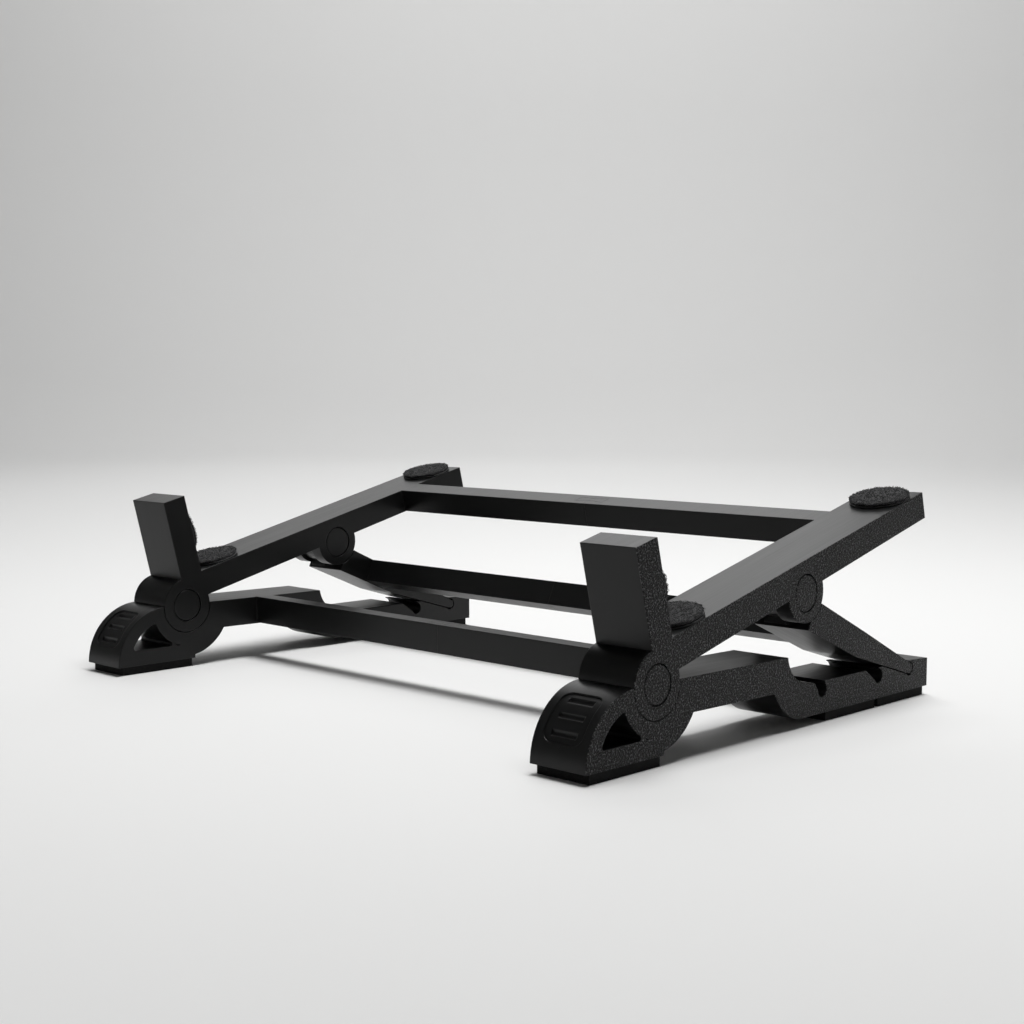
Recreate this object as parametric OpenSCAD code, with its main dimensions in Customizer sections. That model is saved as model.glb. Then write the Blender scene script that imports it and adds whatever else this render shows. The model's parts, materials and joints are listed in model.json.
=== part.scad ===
// Tilting desktop instrument stand: two hinged side frames joined by three crossbars.
// Units are millimetres. +Z is up, -Y is the front (lip side), X runs along the crossbars.
// The origin is the centre of the footprint, on the surface that the stand rests on.

/* [Overall] */
// Overall width across both side frames
stand_w = 240; // [160:5:320]
// Overall depth of the base rails
stand_d = 174.4; // [174.4:0.2:184]
// Thickness of each side frame
frame_t = 20; // [18:1:26]
// Thickness of the foot pads
pad_t = 3; // [2:0.5:3.5]

/* [Hinges] */
// Diameter of the hinge pins
pin_d = 11.8; // [8:0.1:12]
// Distance from the front of the base to the main pin
pin_setback = 29.2; // [29:0.1:29.6]
// Height of the main pin above the table
pin_z = 22.9; // [22.7:0.1:23.1]
// Distance from the main pin to the strut pin
pin_pitch = 73.8; // [73:0.1:74.5]
// Radius of the arm's hinge disc
disc_r = 9.8; // [9.6:0.1:10.2]
// Radius of the arm's strut boss
boss_r = 9.2; // [9.1:0.1:9.5]
// Radius of the hidden hinge tongues
tongue_r = 7.9; // [7.5:0.1:8.0]
// Thickness of the hidden hinge tongues
tongue_t = 8; // [6:0.5:10]

/* [Arm] */
// Tilt of the arm in the lowest seat, in degrees
arm_tilt = 14.1; // [13.9:0.1:14.3]
// Length of the arm behind the main pin
arm_len = 146.3; // [146:0.1:150]
// Height of the arm's top face above the main pin
arm_top = 10.3; // [10.25:0.05:10.5]
// Thickness of the front lip
lip_t = 9.1; // [7:0.1:9.1]
// Height of the lip above the main pin
lip_h = 39.2; // [37:0.1:45]

/* [Strut] */
// Distance from the strut pin to the centre of the rounded tip
strut_len = 69.3; // [69:0.1:69.6]
// Radius of the rounded tip
tip_r = 1.75; // [1.6:0.05:2]

/* [Crossbars] */
// Depth of the base crossbar, front to rear
base_bar_d = 7; // [6:0.5:9]
// Depth of the arm crossbar
arm_bar_d = 9.5; // [8:0.5:11]
// Depth of the strut crossbar
strut_bar_d = 7.5; // [6:0.5:9]

/* [Touch pads] */
// Diameter of the round hook-and-loop pads
coin_d = 20; // [16:0.5:20]

/* [Clearances] */
// Gap around hinge discs and beside hinge tongues
hinge_gap = 0.3; // [0.25:0.05:0.4]
// Radial clearance of a pin in the ears that turn on it
pin_gap = 0.08; // [0.05:0.01:0.1]
// Gap under the strut where it lies in its seat
seat_gap = 0.35; // [0.3:0.05:0.5]
// Gap around the rounded tip of the strut
tip_gap = 0.65; // [0.5:0.05:0.8]
// Gap around a crossbar key
key_gap = 0.1; // [0.05:0.01:0.15]

/* [Hidden] */
$fn = 96;

plastic = [0.10, 0.10, 0.11];
rubber = [0.05, 0.05, 0.05];
hook_tape = [0.03, 0.03, 0.03];
loop_tape = [0.16, 0.16, 0.16];
cut = 1; // overshoot of a cutter past the face it opens

// Where the side frames and the hinge layers lie along X
outer_x = stand_w / 2;
inner_x = outer_x - frame_t;
tongue_x = inner_x + (frame_t - tongue_t) / 2;

// Base rail outline
front_y = -stand_d / 2;
rear_y = stand_d / 2;
rail_z = pad_t;
main_pin = [front_y + pin_setback, pin_z];
nose_r = 20.2;
nose = [front_y + nose_r, rail_z];
cup_r = 18.9;
heel_y = main_pin.x + 3.2; // rear end of the flat under the nose
bridge_z = [13.2, 23.3, 22.5]; // underside, top at the front, top at the rear
tooth_z = 13; // top of the rail between the seats
rear_top_z = 12.4; // top of the rail at its rear end
lobe_r = 17.7;
lobe_sink = 0.2; // how far the lobe's circle dips below the rail's underside
lobe = [main_pin.x + 71.4, rail_z + lobe_r - lobe_sink];
tongue_neck = [235, 305]; // directions that the base's tongue neck spans
base_bar_y = main_pin.x + 31.5;
base_bar_top = 23;

// Foot pads: where each starts and ends along Y, with a locating rib between the two rear ones
front_foot = [front_y + 2.1, main_pin.x + 2.1];
middle_foot = [main_pin.x + 84.3, main_pin.x + 113.1];
rear_foot = [main_pin.x + 115.1, rear_y - 1.6];
pad_inset = 0.7;
rib_t = 1.6;
rib_drop = 0.8;

// Arm outline, in the arm's own frame: u along the arm, v square to it, from the main pin
strut_pin_uv = [pin_pitch, 0.33];
arm_under = [0.7, 1.5]; // height of the arm's underside at the pin and at the rear end
arm_bar_u = 111.8;
disc_mouth = [-171, -52]; // directions in which the arm's disc is open for the tongue neck

// Strut outline, in the strut's own frame: p along the strut, q square to it
tip = [strut_len, -1.35];
crown = [38, tip.y + tip_r];
heel = [6.3, -9.8];
belly = [36, -8.5];
strut_bar_p = 20.6;
strut_bar_q = [-8.7, 0.2]; // underside and top of the crossbar
strut_neck = [-75, -15]; // directions that the strut's tongue neck spans
boss_mouth = [-170, -91, -12]; // directions in which the arm's boss is open for that neck
neck_bite = 1; // how far a tongue neck reaches past its disc or boss into the frame

// A point at a radius and a direction
function polar(r, a) = [r * cos(a), r * sin(a)];
// Direction of one point from another
function bearing(from, to) = atan2(to.y - from.y, to.x - from.x);
// A point of a tilted frame, in the side plane
function placed(origin, angle, point) =
    origin + [point.x * cos(angle) - point.y * sin(angle), point.x * sin(angle) + point.y * cos(angle)];

// Tilt of the strut pin's radius when the tip sits at a seat, by the cosine rule
tip_reach = norm(tip);
function crank_angle(seat) =
    bearing(main_pin, seat)
    + acos((norm(strut_pin_uv)^2 + norm(seat - main_pin)^2 - tip_reach^2)
           / (2 * norm(strut_pin_uv) * norm(seat - main_pin)));
function strut_pin_at(seat) = main_pin + polar(norm(strut_pin_uv), crank_angle(seat));
function strut_angle_at(seat) = bearing(strut_pin_at(seat), seat) - bearing([0, 0], tip);

// Seats for the strut tip, from the lowest tilt to the steepest; the rest tilt sets the first one
strut_pin = placed(main_pin, arm_tilt, strut_pin_uv);
seat_z = 10.3;
seats = [
    [strut_pin.x + sqrt(tip_reach^2 - (strut_pin.y - seat_z)^2), seat_z],
    [main_pin.x + 114.1, seat_z],
    [main_pin.x + 81.3, seat_z]
];
strut_tilt = strut_angle_at(seats[0]);
belly_slope = bearing(belly, tip) - asin(tip_r / norm(tip - belly)); // lower face next to the tip

// The round nest behind the bridge, where the boss lies when the stand is folded flat, and the
// land that slopes from it towards the steepest seat
boss_home = main_pin + strut_pin_uv;
nest = boss_home + [-1.5, 0.9];
nest_r = 10.1;
land_slope = -11;
land_start = nest + polar(nest_r, land_slope - 90);
land_end_y = seats[2].x;

// Window in the nose: concentric with the nose above, with the hinge disc behind, flat below
window_r = nose_r - 4.8;
window_disc_r = disc_r + hinge_gap + 4.6;
window_floor = rail_z + 5.5;
window_round = 0.9;
window_low_z = window_floor + window_round;
// Centre of the corner circle where two circles meet, by the cosine rule
top_reach = [window_r - window_round, window_disc_r + window_round, norm(main_pin - nose)];
window_top = nose + polar(
    top_reach[0],
    bearing(nose, main_pin)
    + acos((top_reach[0]^2 + top_reach[2]^2 - top_reach[1]^2) / (2 * top_reach[0] * top_reach[2]))
);
window_front = [nose.x - sqrt(top_reach[0]^2 - (window_low_z - nose.y)^2), window_low_z];
window_rear = [main_pin.x - sqrt(top_reach[1]^2 - (main_pin.y - window_low_z)^2), window_low_z];

// A shallow rounded panel on the nose with three short grip grooves across it
panel_size = [14, 15.5];
panel_corner = 3;
panel_depth = 0.4;
panel_angle = 138;
groove_r = 1.1;
groove_lift = 0.5; // how far the groove's axis stands above the panel
groove_len = 9;
groove_angles = [123, 138, 153];

// Bow-tie keys that lock the two halves of a crossbar
key_len = 13;
key_ends = 4.4;
key_waist = 2.2;
key_depth = 5;

pin_chamfer = 0.5;

// Hook-and-loop pads: layer thicknesses, and where their centres lie in the arm's frame
hook_t = 0.9;
loop_t = 1;
front_coin_u = 21.1;
rear_coin_u = 135.8;
lip_coin_v = 24.9;

// ---- helpers ----

// A flat shape in the side plane, made into a slab between x0 and x0 + t
module slab(x0, t) {
    translate([x0, 0, 0]) rotate([90, 0, 90]) linear_extrude(t) children();
}

// The same slab on the left or the right side
module sided(side) {
    mirror([side < 0 ? 1 : 0, 0, 0]) children();
}

// A wedge from the origin between two directions
module wedge(angles, r) {
    polygon([
        [0, 0],
        polar(r, angles[0]),
        polar(r / cos((angles[1] - angles[0]) / 4), (angles[0] * 3 + angles[1]) / 4),
        polar(r / cos((angles[1] - angles[0]) / 4), (angles[0] + angles[1] * 3) / 4),
        polar(r, angles[1])
    ]);
}

// A pin with chamfered ends, lying along X through the whole frame
module pin(at) {
    r = pin_d / 2;
    translate([inner_x, at.x, at.y]) rotate([0, 90, 0]) {
        cylinder(h = pin_chamfer, r1 = r - pin_chamfer, r2 = r);
        translate([0, 0, pin_chamfer]) cylinder(h = frame_t - 2 * pin_chamfer, r = r);
        translate([0, 0, frame_t - pin_chamfer]) cylinder(h = pin_chamfer, r1 = r, r2 = r - pin_chamfer);
    }
}

// Bow-tie outline of a key, centred on the joint between the two halves of a bar
module bow_tie(grow) {
    end_x = key_len / 2 + grow;
    end_y = key_ends / 2 + grow;
    waist_y = key_waist / 2 + grow;
    polygon([
        [-end_x, -end_y], [0, -waist_y], [end_x, -end_y],
        [end_x, end_y], [0, waist_y], [-end_x, end_y]
    ]);
}

// A key let into the top of a crossbar, with its top face at z = 0
module key() {
    translate([0, 0, -key_depth]) linear_extrude(key_depth) bow_tie(0);
}

// The pocket for a key
module key_pocket() {
    translate([0, 0, -key_depth]) linear_extrude(key_depth + cut) bow_tie(key_gap);
}

// ---- base ----

module window_2d() {
    corner_cut = 3;
    corner_overlap = 0.02; // makes each corner circle cross the outline instead of only touching it
    difference() {
        intersection() {
            translate(nose) circle(window_r);
            translate([front_y, window_floor]) square([main_pin.x - front_y, nose_r]);
        }
        translate(main_pin) circle(window_disc_r);
        translate(window_front) wedge([bearing(nose, window_front), 270], corner_cut);
        translate(window_top) wedge([bearing(window_top, main_pin), bearing(nose, window_top)], corner_cut);
        translate(window_rear) wedge([-90, bearing(window_rear, main_pin)], corner_cut);
    }
    for (corner = [window_front, window_top, window_rear])
        translate(corner) circle(window_round + corner_overlap);
}

// The rounded end of the strut, grown by one gap below and above it and another round its tip
module strut_end_2d(gap, end_gap) {
    translate(tip) circle(tip_r + end_gap);
    polygon([
        [belly.x, crown.y + gap],
        [tip.x, crown.y + gap],
        tip,
        tip + polar(tip_r + gap, belly_slope - 90),
        belly + polar(gap, belly_slope - 90)
    ]);
}

module nest_2d() {
    land_end = [land_end_y, land_start.y + (land_end_y - land_start.x) * tan(land_slope)];
    translate(nest) circle(nest_r);
    polygon([land_start, land_end, [land_end_y, nest.y], nest]);
}

module rail_2d() {
    difference() {
        union() {
            intersection() {
                translate(nose) circle(nose_r);
                translate([front_y - cut, rail_z]) square([nose_r + 2 * cut, nose_r + cut]);
            }
            intersection() {
                translate(main_pin) circle(cup_r);
                translate([nose.x, rail_z]) square([stand_d, pin_z - rail_z]);
            }
            translate([nose.x, rail_z]) square([heel_y - nose.x, pin_z - rail_z]);
            polygon([
                [main_pin.x, bridge_z[0]],
                [land_end_y, bridge_z[0] - cut],
                [land_end_y, bridge_z[2]],
                [lobe.x, bridge_z[2]],
                [main_pin.x, bridge_z[1]]
            ]);
            intersection() {
                translate(lobe) circle(lobe_r);
                translate([lobe.x - lobe_r, rail_z]) square([lobe_r + cut, tooth_z - rail_z]);
            }
            polygon([
                [lobe.x, rail_z],
                [rear_y, rail_z],
                [rear_y, rear_top_z],
                [seats[0].x, tooth_z],
                [lobe.x, tooth_z]
            ]);
        }
        translate(main_pin) circle(disc_r + hinge_gap);
        nest_2d();
        window_2d();
        for (seat = seats)
            translate(strut_pin_at(seat)) rotate(strut_angle_at(seat)) strut_end_2d(seat_gap, tip_gap);
    }
}

module base_tongue_2d() {
    difference() {
        union() {
            translate(main_pin) circle(tongue_r);
            intersection() {
                translate(main_pin) wedge(tongue_neck, disc_r + neck_bite);
                translate(main_pin) circle(disc_r + neck_bite);
            }
        }
        translate(main_pin) circle(pin_d / 2);
    }
}

// Moves to the nose's axis at the middle of the right side frame, turned so that +Z points outwards
module on_nose(angle) {
    translate([outer_x - frame_t / 2, nose.x, nose.y]) rotate([angle - 90, 0, 0]) children();
}

module nose_panel() {
    half = panel_size / 2 - [panel_corner, panel_corner];
    difference() {
        on_nose(panel_angle) linear_extrude(nose_r + cut) {
            square([panel_size.x, panel_size.y - 2 * panel_corner], center = true);
            square([panel_size.x - 2 * panel_corner, panel_size.y], center = true);
            for (x = [-half.x, half.x], y = [-half.y, half.y]) translate([x, y]) circle(panel_corner);
        }
        slab(inner_x - cut, frame_t + 2 * cut) translate(nose) circle(nose_r - panel_depth);
    }
}

module nose_groove(angle) {
    on_nose(angle) translate([-groove_len / 2, 0, nose_r - panel_depth + groove_lift])
        rotate([0, 90, 0]) cylinder(h = groove_len, r = groove_r);
}

// The rib on the rail's underside that keeps the two rear foot pads apart
module pad_rib() {
    translate([inner_x + 2 * pad_inset, (middle_foot[1] + rear_foot[0] - rib_t) / 2, rail_z - rib_drop])
        cube([frame_t - 4 * pad_inset, rib_t, cut]);
}

module base_half() {
    color(plastic) difference() {
        union() {
            slab(inner_x, frame_t) rail_2d();
            slab(tongue_x, tongue_t) base_tongue_2d();
            slab(0, inner_x + cut)
                translate([base_bar_y, bridge_z[0]]) square([base_bar_d, base_bar_top - bridge_z[0]]);
            pad_rib();
        }
        translate([0, base_bar_y + base_bar_d / 2, base_bar_top]) key_pocket();
        nose_panel();
        for (angle = groove_angles) nose_groove(angle);
    }
}

module base_key() {
    color(plastic) translate([0, base_bar_y + base_bar_d / 2, base_bar_top]) key();
}

module main_pin_piece() {
    color(plastic) pin(main_pin);
}

module foot_pad(span) {
    color(rubber) translate([inner_x + pad_inset, span[0], 0])
        cube([frame_t - 2 * pad_inset, span[1] - span[0], pad_t]);
}

// ---- arm ----

module arm_2d() {
    polygon([
        [0, arm_under[0]],
        [arm_len, arm_under[1]],
        [arm_len, arm_top],
        [0, arm_top]
    ]);
    square([lip_t, lip_h]);
    circle(disc_r);
    translate(strut_pin_uv) circle(boss_r);
}

// The hollow in the middle of the arm that the base's and the strut's tongues turn in
module arm_hollow_2d() {
    circle(tongue_r + hinge_gap);
    wedge(disc_mouth, disc_r + cut);
    translate(strut_pin_uv) {
        circle(tongue_r + hinge_gap);
        wedge([boss_mouth[0], boss_mouth[1]], boss_r + cut);
        wedge([boss_mouth[1], boss_mouth[2]], boss_r + cut);
    }
}

// Moves the arm's own frame to its place at rest
module arm_place() {
    translate([0, main_pin.x, main_pin.y]) rotate([arm_tilt, 0, 0]) children();
}

module arm_half() {
    color(plastic) arm_place() difference() {
        union() {
            slab(inner_x, frame_t) arm_2d();
            slab(0, inner_x + cut)
                translate([arm_bar_u, arm_under[1]]) square([arm_bar_d, arm_top - arm_under[1]]);
        }
        slab(tongue_x - hinge_gap, tongue_t + 2 * hinge_gap) arm_hollow_2d();
        slab(inner_x - cut, frame_t + 2 * cut) {
            circle(pin_d / 2 + pin_gap);
            translate(strut_pin_uv) circle(pin_d / 2 + pin_gap);
        }
        translate([0, arm_bar_u + arm_bar_d / 2, arm_top]) key_pocket();
    }
}

module arm_key() {
    color(plastic) arm_place() translate([0, arm_bar_u + arm_bar_d / 2, arm_top]) key();
}

// A round pad standing on the arm's top face
module arm_coin(u, lift, t) {
    arm_place() translate([outer_x - frame_t / 2, u, arm_top + lift]) cylinder(h = t, d = coin_d);
}

// A round pad on the rear face of the lip
module lip_coin(lift, t) {
    arm_place() translate([outer_x - frame_t / 2, lip_t + lift, lip_coin_v]) rotate([-90, 0, 0])
        cylinder(h = t, d = coin_d);
}

module hook_pad(place) {
    color(hook_tape) if (place == "lip") lip_coin(0, hook_t);
    else arm_coin(place == "front" ? front_coin_u : rear_coin_u, 0, hook_t);
}

module loop_pad(place) {
    color(loop_tape) if (place == "lip") lip_coin(hook_t, loop_t);
    else arm_coin(place == "front" ? front_coin_u : rear_coin_u, hook_t, loop_t);
}

// ---- strut ----

module strut_2d() {
    difference() {
        union() {
            strut_end_2d(0, 0);
            polygon([[heel.x, 0], crown, [tip.x, crown.y], belly, heel]);
        }
        circle(boss_r + hinge_gap);
    }
}

module strut_tongue_2d() {
    difference() {
        union() {
            circle(tongue_r);
            intersection() {
                wedge(strut_neck, boss_r + 2 * neck_bite);
                circle(boss_r + neck_bite);
            }
        }
        circle(pin_d / 2);
    }
}

module strut_place() {
    translate([0, strut_pin.x, strut_pin.y]) rotate([strut_tilt, 0, 0]) children();
}

module strut_half() {
    color(plastic) strut_place() difference() {
        union() {
            slab(inner_x, frame_t) strut_2d();
            slab(tongue_x, tongue_t) strut_tongue_2d();
            slab(0, inner_x + cut)
                translate([strut_bar_p, strut_bar_q[0]])
                    square([strut_bar_d, strut_bar_q[1] - strut_bar_q[0]]);
        }
        translate([0, strut_bar_p + strut_bar_d / 2, strut_bar_q[1]]) key_pocket();
    }
}

module strut_key() {
    color(plastic) strut_place() translate([0, strut_bar_p + strut_bar_d / 2, strut_bar_q[1]]) key();
}

module strut_pin_piece() {
    color(plastic) pin(strut_pin);
}

sided(-1) base_half();  // base_frame_left
sided(1) base_half();  // base_frame_right
base_key();  // base_bar_key
sided(-1) main_pin_piece();  // main_pin_left
sided(1) main_pin_piece();  // main_pin_right
sided(-1) foot_pad(front_foot);  // front_foot_pad_left
sided(1) foot_pad(front_foot);  // front_foot_pad_right
sided(-1) foot_pad(middle_foot);  // middle_foot_pad_left
sided(1) foot_pad(middle_foot);  // middle_foot_pad_right
sided(-1) foot_pad(rear_foot);  // rear_foot_pad_left
sided(1) foot_pad(rear_foot);  // rear_foot_pad_right
sided(-1) arm_half();  // arm_frame_left
sided(1) arm_half();  // arm_frame_right
arm_key();  // arm_bar_key
sided(-1) hook_pad("lip");  // lip_hook_pad_left
sided(1) hook_pad("lip");  // lip_hook_pad_right
sided(-1) loop_pad("lip");  // lip_loop_pad_left
sided(1) loop_pad("lip");  // lip_loop_pad_right
sided(-1) hook_pad("front");  // front_hook_pad_left
sided(1) hook_pad("front");  // front_hook_pad_right
sided(-1) loop_pad("front");  // front_loop_pad_left
sided(1) loop_pad("front");  // front_loop_pad_right
sided(-1) hook_pad("rear");  // rear_hook_pad_left
sided(1) hook_pad("rear");  // rear_hook_pad_right
sided(-1) loop_pad("rear");  // rear_loop_pad_left
sided(1) loop_pad("rear");  // rear_loop_pad_right
sided(-1) strut_half();  // strut_frame_left
sided(1) strut_half();  // strut_frame_right
strut_key();  // strut_bar_key
sided(-1) strut_pin_piece();  // strut_pin_left
sided(1) strut_pin_piece();  // strut_pin_right
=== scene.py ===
"""Looks for the tilting desktop instrument stand: a studio, a camera, materials and soft pads."""
import json
import math
import random

import bmesh
import bpy
from mathutils import Matrix, Vector, noise


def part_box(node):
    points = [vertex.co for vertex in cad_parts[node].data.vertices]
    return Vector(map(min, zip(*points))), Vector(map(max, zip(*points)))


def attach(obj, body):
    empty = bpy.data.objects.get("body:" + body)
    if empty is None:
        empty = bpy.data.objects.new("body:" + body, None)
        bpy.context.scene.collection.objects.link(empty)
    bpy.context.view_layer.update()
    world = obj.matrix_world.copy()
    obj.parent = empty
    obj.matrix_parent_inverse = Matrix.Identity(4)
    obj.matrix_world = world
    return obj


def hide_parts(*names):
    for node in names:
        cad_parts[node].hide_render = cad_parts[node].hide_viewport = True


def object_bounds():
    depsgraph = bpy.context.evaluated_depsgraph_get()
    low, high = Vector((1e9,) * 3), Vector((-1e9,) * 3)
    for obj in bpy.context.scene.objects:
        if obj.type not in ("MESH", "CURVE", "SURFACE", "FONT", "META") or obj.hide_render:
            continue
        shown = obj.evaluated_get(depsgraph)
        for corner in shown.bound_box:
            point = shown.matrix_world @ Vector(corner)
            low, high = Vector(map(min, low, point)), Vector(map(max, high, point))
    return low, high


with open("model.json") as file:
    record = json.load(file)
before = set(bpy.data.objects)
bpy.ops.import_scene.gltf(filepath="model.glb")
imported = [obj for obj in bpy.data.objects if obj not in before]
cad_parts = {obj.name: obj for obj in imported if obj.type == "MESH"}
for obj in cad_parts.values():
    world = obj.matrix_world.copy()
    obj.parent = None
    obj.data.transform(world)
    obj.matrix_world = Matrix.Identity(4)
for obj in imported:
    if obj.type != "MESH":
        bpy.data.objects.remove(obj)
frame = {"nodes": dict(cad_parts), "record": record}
cad_low, cad_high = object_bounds()

NODES = frame["nodes"]
MOUNTS = {m["name"]: m for m in frame["record"]["mounts"]}
OUTER_FACE = cad_high.x
MM = 0.001
FULL_TURN = 2 * math.pi

# ---------------------------------------------------------------- camera

CAMERA_PLACE = Vector((0.38363, -0.38932, 0.10366))
CAMERA_AZIMUTH = math.radians(43.87)
CAMERA_TILT = math.radians(4.60)
CAMERA_ROLL = math.radians(0.15)
CAMERA_LENS = 55.42
CAMERA_SENSOR = 36
CAMERA_NEAREST = 0.01


def add_camera():
    """The camera at the photo's angle."""
    back = Vector((
        math.sin(CAMERA_AZIMUTH) * math.cos(CAMERA_TILT),
        -math.cos(CAMERA_AZIMUTH) * math.cos(CAMERA_TILT),
        math.sin(CAMERA_TILT),
    ))
    level = Vector((math.cos(CAMERA_AZIMUTH), math.sin(CAMERA_AZIMUTH), 0))
    right = (Matrix.Rotation(CAMERA_ROLL, 3, back) @ level).normalized()
    up = back.cross(right)
    data = bpy.data.cameras.new("photo_camera")
    data.lens = CAMERA_LENS
    data.sensor_width = CAMERA_SENSOR
    data.clip_start = CAMERA_NEAREST
    camera = bpy.data.objects.new("photo_camera", data)
    turn = Matrix((right, up, back)).transposed()
    camera.matrix_world = Matrix.Translation(CAMERA_PLACE) @ turn.to_4x4()
    bpy.context.scene.collection.objects.link(camera)
    bpy.context.scene.camera = camera


# ---------------------------------------------------------------- studio

def principled(name):
    """A new material, its node tree and its Principled shader."""
    material = bpy.data.materials.new(name)
    material.use_nodes = True
    tree = material.node_tree
    return material, tree, tree.nodes["Principled BSDF"]


def ring_of_verts(mesh, radius, height, sides):
    """A level ring of vertices round the Z axis."""
    turns = (FULL_TURN * i / sides for i in range(sides))
    return [mesh.verts.new((radius * math.cos(a), radius * math.sin(a), height)) for a in turns]


def add_sweep():
    """A round paper sweep: a flat floor that curves up into a wall all the way round."""
    floor_r, curve_r, wall_h = 1.7, 0.6, 1.6
    curve_steps = 10
    sides = 96
    profile = [(floor_r / 2, 0.0), (floor_r, 0.0)]
    for i in range(1, curve_steps + 1):
        a = math.radians(90 / curve_steps * i)
        profile.append((floor_r + curve_r * math.sin(a), curve_r * (1 - math.cos(a))))
    profile.append((floor_r + curve_r, curve_r + wall_h))
    mesh = bmesh.new()
    rings = [ring_of_verts(mesh, r, z, sides) for r, z in profile]
    centre = mesh.verts.new((0, 0, 0))
    for i in range(sides):
        mesh.faces.new((centre, rings[0][i], rings[0][(i + 1) % sides]))
    for inner, outer in zip(rings, rings[1:]):
        for i in range(sides):
            j = (i + 1) % sides
            mesh.faces.new((inner[i], outer[i], outer[j], inner[j]))
    for face in mesh.faces:
        face.smooth = True
    data = bpy.data.meshes.new("paper_sweep")
    mesh.to_mesh(data)
    mesh.free()
    sweep = bpy.data.objects.new("paper_sweep", data)
    bpy.context.scene.collection.objects.link(sweep)
    data.materials.append(paper())


def paper():
    """Plain matt white paper."""
    material, _, shader = principled("paper")
    shader.inputs["Base Color"].default_value = (0.80, 0.80, 0.795, 1)
    shader.inputs["Roughness"].default_value = 0.9
    shader.inputs["Specular IOR Level"].default_value = 0.2
    return material


def add_softbox(name, place, target, size, power, spread=180):
    """A rectangular area light: place, target and size in metres, power in watts, spread in degrees."""
    data = bpy.data.lights.new(name, "AREA")
    data.shape = "RECTANGLE"
    data.size, data.size_y = size
    data.energy = power
    data.spread = math.radians(spread)
    light = bpy.data.objects.new(name, data)
    light.location = place
    light.rotation_euler = (Vector(target) - Vector(place)).to_track_quat("-Z", "Y").to_euler()
    bpy.context.scene.collection.objects.link(light)


def add_lights():
    """One light above the stand, one behind it for its top faces, and two for the paper."""
    add_softbox("overhead_softbox", (0.10, 0.20, 1.30), (0, 0.02, 0), (0.5, 0.5), 4.9, spread=100)
    add_softbox("rear_softbox", (-1.05, 0.90, 1.00), (0, 0, 0.05), (1.0, 0.6), 2.8)
    add_softbox("floor_softbox", (-0.55, 0.75, 1.55), (-0.95, 1.15, 0), (1.1, 0.7), 8.2, spread=130)
    add_softbox("backdrop_softbox", (-0.80, 0.85, 1.50), (-1.62, 1.72, 0.85), (1.6, 0.4), 3.9, spread=120)
    world = bpy.data.worlds.new("studio_air")
    world.use_nodes = True
    air = world.node_tree.nodes["Background"]
    air.inputs["Color"].default_value = (1, 1, 1, 1)
    air.inputs["Strength"].default_value = 0.05
    bpy.context.scene.world = world
    bpy.context.scene.view_settings.view_transform = "Standard"


# ---------------------------------------------------------------- materials

# A mix node has sockets of the same name for each kind of value, so they are told apart by place.
MIX_FACTOR = 0
MIX_NUMBERS = (2, 3)
MIX_COLOURS = (6, 7)
MIXED_NUMBER = 0
MIXED_COLOUR = 2


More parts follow.
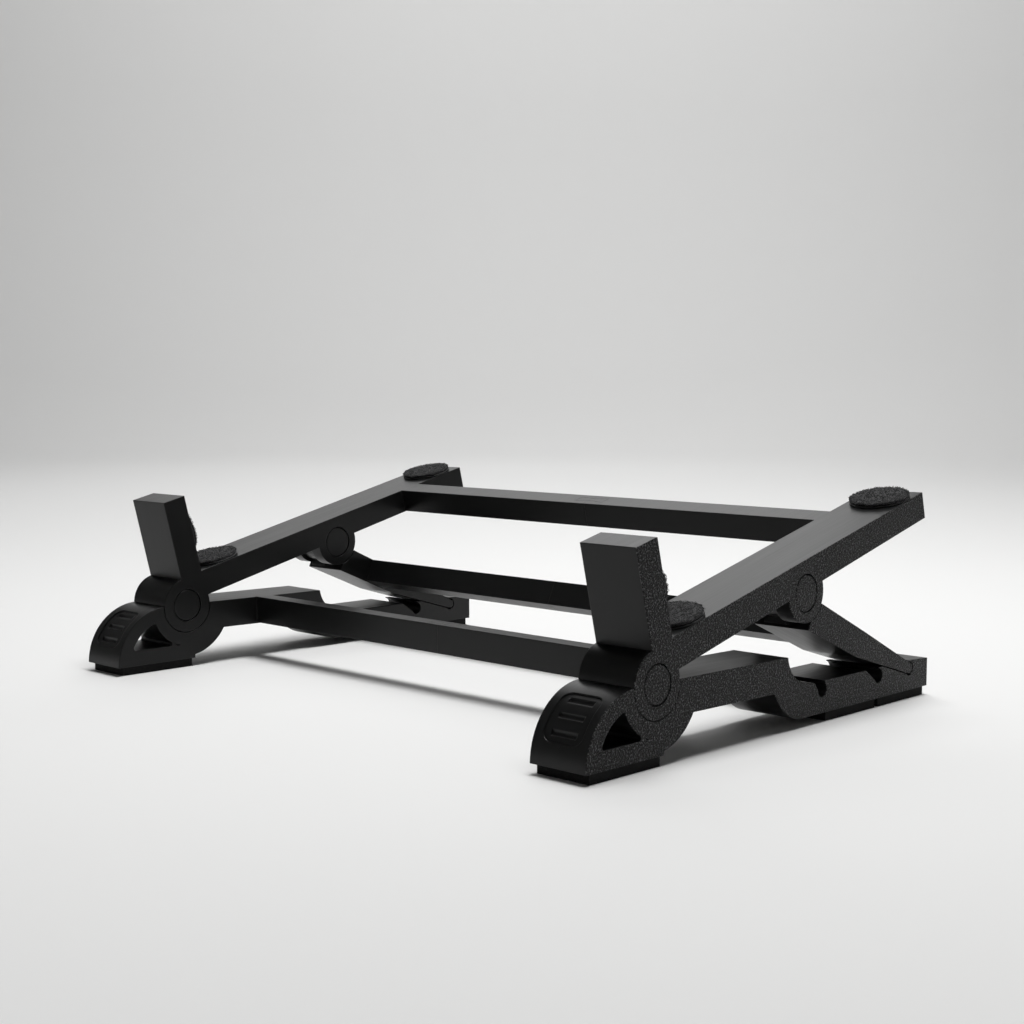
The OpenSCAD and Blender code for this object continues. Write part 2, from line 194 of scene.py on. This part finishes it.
class Nodes:
    """Short names for adding and joining shader nodes in one tree."""

    def __init__(self, tree):
        self.tree = tree

    def add(self, kind, **values):
        """A new node with some of its settings given."""
        made = self.tree.nodes.new(kind)
        for name, value in values.items():
            setattr(made, name, value)
        return made

    def link(self, source, target):
        """Joins an output to an input."""
        self.tree.links.new(source, target)

    def feed(self, source, target):
        """Gives an input a constant or an output."""
        if isinstance(source, (int, float)):
            target.default_value = source
        else:
            self.link(source, target)

    def value(self, operation, *terms):
        """A sum on one or two numbers, each a constant or an output."""
        made = self.add("ShaderNodeMath", operation=operation)
        for i, term in enumerate(terms):
            self.feed(term, made.inputs[i])
        return made.outputs[0]

    def place(self, scale=(1, 1, 1)):
        """Coordinates in metres in the rest frame, stretched by scale."""
        where = self.add("ShaderNodeTexCoord")
        mapping = self.add("ShaderNodeMapping")
        mapping.inputs["Scale"].default_value = scale
        self.link(where.outputs["Object"], mapping.inputs["Vector"])
        return mapping.outputs["Vector"]

    def noise(self, scale, detail=2.0, rough=0.5, stretch=(1, 1, 1)):
        """Noise from 0 to 1, with about one lump in 1 / scale of a metre."""
        made = self.add("ShaderNodeTexNoise")
        made.inputs["Scale"].default_value = scale
        made.inputs["Detail"].default_value = detail
        made.inputs["Roughness"].default_value = rough
        self.link(self.place(stretch), made.inputs["Vector"])
        return made.outputs["Fac"]

    def remap(self, source, low, high, to_low=0.0, to_high=1.0):
        """The source's range from low to high, spread over another range and kept inside it."""
        made = self.add("ShaderNodeMapRange")
        self.link(source, made.inputs["Value"])
        for name, x in zip(("From Min", "From Max", "To Min", "To Max"), (low, high, to_low, to_high)):
            made.inputs[name].default_value = x
        return made.outputs["Result"]

    def mix(self, factor, a, b):
        """A number between a and b, each a constant or an output."""
        made = self.add("ShaderNodeMix", data_type="FLOAT")
        self.link(factor, made.inputs[MIX_FACTOR])
        for i, x in zip(MIX_NUMBERS, (a, b)):
            self.feed(x, made.inputs[i])
        return made.outputs[MIXED_NUMBER]

    def colours(self, factor, a, b):
        """A colour between the fixed colours a and b."""
        made = self.add("ShaderNodeMix", data_type="RGBA")
        self.link(factor, made.inputs[MIX_FACTOR])
        for i, colour in zip(MIX_COLOURS, (a, b)):
            made.inputs[i].default_value = (*colour, 1)
        return made.outputs[MIXED_COLOUR]

    def blend(self, factor, a, b):
        """A colour between the colour outputs a and b."""
        made = self.add("ShaderNodeMix", data_type="RGBA")
        self.link(factor, made.inputs[MIX_FACTOR])
        for i, x in zip(MIX_COLOURS, (a, b)):
            self.link(x, made.inputs[i])
        return made.outputs[MIXED_COLOUR]

    def rounded_edges(self, radius):
        """A normal that rounds sharp edges by a radius."""
        made = self.add("ShaderNodeBevel", samples=6)
        made.inputs["Radius"].default_value = radius
        return made.outputs["Normal"]

    def bump(self, height, strength, distance, below=None):
        """A normal tilted by a height, on top of another normal if one is given."""
        made = self.add("ShaderNodeBump")
        made.inputs["Strength"].default_value = strength
        made.inputs["Distance"].default_value = distance
        self.link(height, made.inputs["Height"])
        if below is not None:
            self.link(below, made.inputs["Normal"])
        return made.outputs["Normal"]


def printed_plastic(name, dark, light):
    """Black printed plastic: pebbled where it lay on the print bed, finely layered elsewhere; the pebbles
    carry painted highlights on their crests and painted shade in their pits.
    """
    material, tree, shader = principled(name)
    n = Nodes(tree)
    axes = n.add("ShaderNodeSeparateXYZ")
    n.link(n.place(), axes.inputs[0])
    from_middle = n.value("ABSOLUTE", axes.outputs["X"])
    bed_side = n.remap(from_middle, OUTER_FACE - 0.35 * MM, OUTER_FACE - 0.10 * MM)
    pebbles = n.noise(1900, detail=1.5, rough=0.5)
    knobbly = n.remap(pebbles, 0.32, 0.68)
    layers = n.noise(1.0, detail=2.0, rough=0.7, stretch=(2600, 18, 18))
    ripples = n.noise(1.0, detail=1.0, stretch=(420, 25, 25))
    layered = n.bump(layers, 0.10, 0.05 * MM, n.rounded_edges(0.45 * MM))
    rippled = n.bump(ripples, 0.05, 0.20 * MM, layered)
    pebbled = n.bump(n.mix(bed_side, 0.5, knobbly), 1.0, 0.30 * MM, rippled)
    n.link(pebbled, shader.inputs["Normal"])
    cloudy = n.noise(55, detail=4.0, rough=0.6)
    smooth_colour = n.colours(cloudy, dark, light)
    # Painted light: the pebbles' crests are painted bright as highlights, and their pits are painted darker
    # than the plastic as shade.
    painted_glint_mask = n.value("POWER", n.remap(pebbles, 0.49, 0.68), 1.8)
    painted_pebble_light_and_shade = n.colours(painted_glint_mask, (0.0012, 0.0012, 0.0013), (0.150, 0.152, 0.155))
    n.link(n.blend(bed_side, smooth_colour, painted_pebble_light_and_shade), shader.inputs["Base Color"])
    smooth_rough = n.remap(layers, 0.3, 0.7, 0.28, 0.36)
    n.link(n.mix(bed_side, smooth_rough, 0.42), shader.inputs["Roughness"])
    n.link(n.mix(bed_side, 0.24, 0.20), shader.inputs["Specular IOR Level"])
    return material


def foot_rubber():
    """Dull black cellular rubber with a little dust."""
    material, tree, shader = principled("cellular_rubber")
    n = Nodes(tree)
    cells = n.noise(1500, detail=3.0, rough=0.7)
    dust = n.noise(90, detail=5.0, rough=0.7)
    n.link(n.bump(cells, 0.8, 0.18 * MM), shader.inputs["Normal"])
    n.link(n.colours(dust, (0.0032, 0.0032, 0.0032), (0.0085, 0.0085, 0.0088)), shader.inputs["Base Color"])
    n.link(n.remap(cells, 0.3, 0.7, 0.80, 0.95), shader.inputs["Roughness"])
    shader.inputs["Specular IOR Level"].default_value = 0.25
    return material


def hook_tape():
    """Black woven tape."""
    material, tree, shader = principled("hook_tape")
    n = Nodes(tree)
    weave = n.noise(1.0, detail=1.0, stretch=(2600, 2600, 900))
    wear = n.noise(300, detail=2.0)
    n.link(n.bump(weave, 0.6, 0.12 * MM), shader.inputs["Normal"])
    n.link(n.colours(wear, (0.006, 0.006, 0.006), (0.014, 0.014, 0.015)), shader.inputs["Base Color"])
    n.link(n.remap(weave, 0.3, 0.7, 0.42, 0.6), shader.inputs["Roughness"])
    return material


def loop_pile():
    """Dark grey fuzz, with painted shade making it nearly black between the threads."""
    material, tree, shader = principled("loop_pile")
    n = Nodes(tree)
    curls = n.noise(2200, detail=4.0, rough=0.75)
    tufts = n.noise(420, detail=3.0, rough=0.6)
    # Painted light and shade: the fine curls noise paints shade between the threads and lighter thread
    # tops; the broader tufts only vary the tone.
    painted_thread_shade = n.value("MULTIPLY", n.remap(curls, 0.3, 0.7), n.remap(tufts, 0.3, 0.7, 0.45, 1.0))
    n.link(n.colours(painted_thread_shade, (0.008, 0.008, 0.0083), (0.068, 0.068, 0.070)), shader.inputs["Base Color"])
    n.link(n.bump(curls, 1.0, 0.3 * MM), shader.inputs["Normal"])
    shader.inputs["Roughness"].default_value = 0.95
    shader.inputs["Specular IOR Level"].default_value = 0.2
    shader.inputs["Sheen Weight"].default_value = 0.25
    shader.inputs["Sheen Roughness"].default_value = 0.5
    return material


# ---------------------------------------------------------------- printed and rubber parts

def finish_cad_nodes():
    """Gives each CAD node that is shown its material; the pads' nodes are replaced later."""
    frame_plastic = printed_plastic("printed_frame", (0.0046, 0.0047, 0.0048), (0.0078, 0.0080, 0.0081))
    pin_plastic = printed_plastic("printed_pin", (0.0043, 0.0044, 0.0045), (0.0072, 0.0074, 0.0075))
    rubber = foot_rubber()
    for name, node in NODES.items():
        if "foot_pad" in name:
            material = rubber
        elif "pin" in name:
            material = pin_plastic
        elif "frame" in name or "key" in name:
            material = frame_plastic
        else:
            continue
        node.data.materials.clear()
        node.data.materials.append(material)


# ---------------------------------------------------------------- hook-and-loop pads

def pad_axes(mount):
    """The outward direction of a pad, and the two directions across it."""
    out = Vector(mount["axis"]).normalized()
    across = Vector((1, 0, 0))
    return out, across, out.cross(across)


def pad_size(node, out):
    """Centre of a CAD disc's lower face, its radius and its thickness."""
    points = [v.co for v in NODES[node].data.vertices]
    low = min(p.dot(out) for p in points)
    high = max(p.dot(out) for p in points)
    middle = sum((Vector(c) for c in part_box(node)), Vector()) / 2
    base = middle + out * (low - middle.dot(out))
    radius = max((p - base - out * (p - base).dot(out)).length for p in points)
    return base, radius, high - low


def finish_piece(name, mesh, material, node):
    """Makes a mesh a piece that rides on the arm in place of a CAD node."""
    data = bpy.data.meshes.new(name)
    mesh.to_mesh(data)
    mesh.free()
    data.materials.append(material)
    piece = bpy.data.objects.new(name, data)
    bpy.context.scene.collection.objects.link(piece)
    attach(piece, "arm")
    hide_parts(node)


def closed_skin(mesh, rings, smooth_caps):
    """Faces between each ring of vertices and the next, and across the first and the last ring."""
    for lower, upper in zip(rings, rings[1:]):
        for i in range(len(lower)):
            j = (i + 1) % len(lower)
            mesh.faces.new((lower[i], lower[j], upper[j], upper[i])).smooth = True
    for cap in (reversed(rings[0]), rings[-1]):
        mesh.faces.new(list(cap)).smooth = smooth_caps


def rim_noise(ray, seed):
    """How far the rim strays in one direction: broad waves and finer nicks."""
    wave_scale, nick_scale, nick_share = 5, 17, 0.6
    waves = noise.noise(ray * wave_scale + Vector((seed, 0, 0)))
    nicks = noise.noise(ray * nick_scale + Vector((0, seed, 0)))
    return waves + nick_share * nicks


def ragged_disc(mesh, base, axes, radius, profile, wobble, lump, seed):
    """A closed disc with an uneven rim and face.

    profile is a list of (share of the radius, height). wobble is how far the rim strays, and lump how
    far the face does, above lumpy_from.
    """
    out, across, along = axes
    sides = 120
    lump_scale, height_scale = 9, 900
    lumpy_from = 0.5 * MM
    rings = []
    for share, height in profile:
        ring = []
        for i in range(sides):
            a = FULL_TURN * i / sides
            ray = Vector((math.cos(a), math.sin(a), 0))
            r = radius * share + wobble * rim_noise(ray, seed) * share ** 3
            z = height
            if height > lumpy_from:
                spot = ray * (share * lump_scale) + Vector((seed, seed, height * height_scale))
                z += lump * noise.noise(spot)
            ring.append(mesh.verts.new(base + across * (r * ray.x) + along * (r * ray.y) + out * z))
        rings.append(ring)
    closed_skin(mesh, rings, smooth_caps=True)


def strand(mesh, points, radius):
    """A thin three-sided thread through the points."""
    sides = 3
    corners = []
    for i in range(sides):
        a = FULL_TURN * i / sides
        corners.append(Vector((radius * math.cos(a), radius * math.sin(a), 0)))
    rings = []
    for k, point in enumerate(points):
        ahead = points[min(k + 1, len(points) - 1)] - points[max(k - 1, 0)]
        turn = ahead.to_track_quat("Z", "Y")
        rings.append([mesh.verts.new(point + turn @ corner) for corner in corners])
    closed_skin(mesh, rings, smooth_caps=False)


def pile_thread(mesh, root, lean, out, rng):
    """One loop of the pile: it rises from the root, arches over and comes back down."""
    height = rng.uniform(0.18, 0.48) * MM
    reach = rng.uniform(0.35, 0.95) * MM
    side = lean.cross(out).normalized() * rng.uniform(-0.3, 0.3) * MM
    sunk = 0.1 * MM
    behind_root = 0.2
    side_bend = 3
    steps = 5
    points = []
    for k in range(steps + 1):
        t = k / steps
        rise = height * math.sin(math.pi * t) - sunk
        aside = side * math.sin(side_bend * t)
        points.append(root + lean * (reach * (t - behind_root)) + aside + out * rise)
    strand(mesh, points, rng.uniform(0.04, 0.07) * MM)


def loop_pad(node, mount, material, seed):
    """A fuzzy loop disc: a lumpy body, threads all over its face and more round its rim."""
    axes = pad_axes(mount)
    out, across, along = axes
    base, radius, thick = pad_size(node, out)
    rng = random.Random(seed)
    mesh = bmesh.new()
    body = thick - 0.2 * MM
    profile = [
        (0.955, 0.0), (0.985, 0.22 * body), (0.99, 0.5 * body), (0.975, 0.78 * body), (0.94, 0.93 * body),
        (0.88, body), (0.72, body), (0.56, body), (0.4, body), (0.24, body), (0.1, body),
    ]
    ragged_disc(mesh, base, axes, radius - 0.2 * MM, profile, wobble=0.45 * MM, lump=0.16 * MM, seed=seed)
    face_threads = 1300
    rim_threads = face_threads // 3
    face_root = out * (body - 0.05 * MM)
    face_radius = 0.97 * radius
    rim_radius = radius - 0.55 * MM
    for _ in range(face_threads):
        a = rng.uniform(0, FULL_TURN)
        r = face_radius * math.sqrt(rng.random())
        ray = across * math.cos(a) + along * math.sin(a)
        heading = rng.uniform(0, FULL_TURN)
        lean = across * math.cos(heading) + along * math.sin(heading)
        pile_thread(mesh, base + ray * r + face_root, lean, out, rng)
    for _ in range(rim_threads):
        a = rng.uniform(0, FULL_TURN)
        ray = across * math.cos(a) + along * math.sin(a)
        lean = (ray.cross(out) * rng.choice((-1, 1)) + out * rng.uniform(-0.6, 0.6)).normalized()
        root = base + ray * rim_radius + out * (thick * rng.uniform(0.15, 0.85))
        pile_thread(mesh, root, lean, ray, rng)
    finish_piece(node + "_pile", mesh, material, node)


def hook_pad(node, mount, material, seed):
    """A hook disc: a woven tape with a ring of small hooks near its edge."""
    axes = pad_axes(mount)
    out, across, along = axes
    base, radius, thick = pad_size(node, out)
    rng = random.Random(seed)
    mesh = bmesh.new()
    top = 0.78 * thick
    profile = [
        (0.985, 0.0), (0.998, 0.1 * thick), (1.0, 0.35 * thick), (0.998, 0.6 * thick),
        (0.985, 0.72 * thick), (0.95, top), (0.5, top), (0.1, top),
    ]
    ragged_disc(mesh, base, axes, radius - 0.1 * MM, profile, wobble=0.06 * MM, lump=0.0, seed=seed)
    hooks = 110
    for k in range(hooks):
        a = FULL_TURN * (k + rng.uniform(-0.3, 0.3)) / hooks
        ray = across * math.cos(a) + along * math.sin(a)
        root = base + ray * (radius - rng.uniform(0.5, 0.9) * MM) + out * (0.7 * thick)
        tip = root + out * (0.42 * thick) + ray * rng.uniform(-0.15, 0.2) * MM
        crook = tip + ray.cross(out) * 0.18 * MM - out * 0.08 * MM
        strand(mesh, [root, (root + tip) / 2, tip, crook], 0.06 * MM)
    finish_piece(node + "_tape", mesh, material, node)


def add_pads():
    """A hook disc and a loop disc on each of the six pads, each with its own seed."""
    tape = hook_tape()
    pile = loop_pile()
    pads = [(place, side) for place in ("lip", "front", "rear") for side in ("left", "right")]
    first_seed = 11
    for i, (place, side) in enumerate(pads):
        mount = MOUNTS[f"{place}_rest_{side}"]
        seed = first_seed + 2 * i
        hook_pad(f"{place}_hook_pad_{side}", mount, tape, seed)
        loop_pad(f"{place}_loop_pad_{side}", mount, pile, seed + 1)


add_camera()
add_sweep()
add_lights()
finish_cad_nodes()
add_pads()
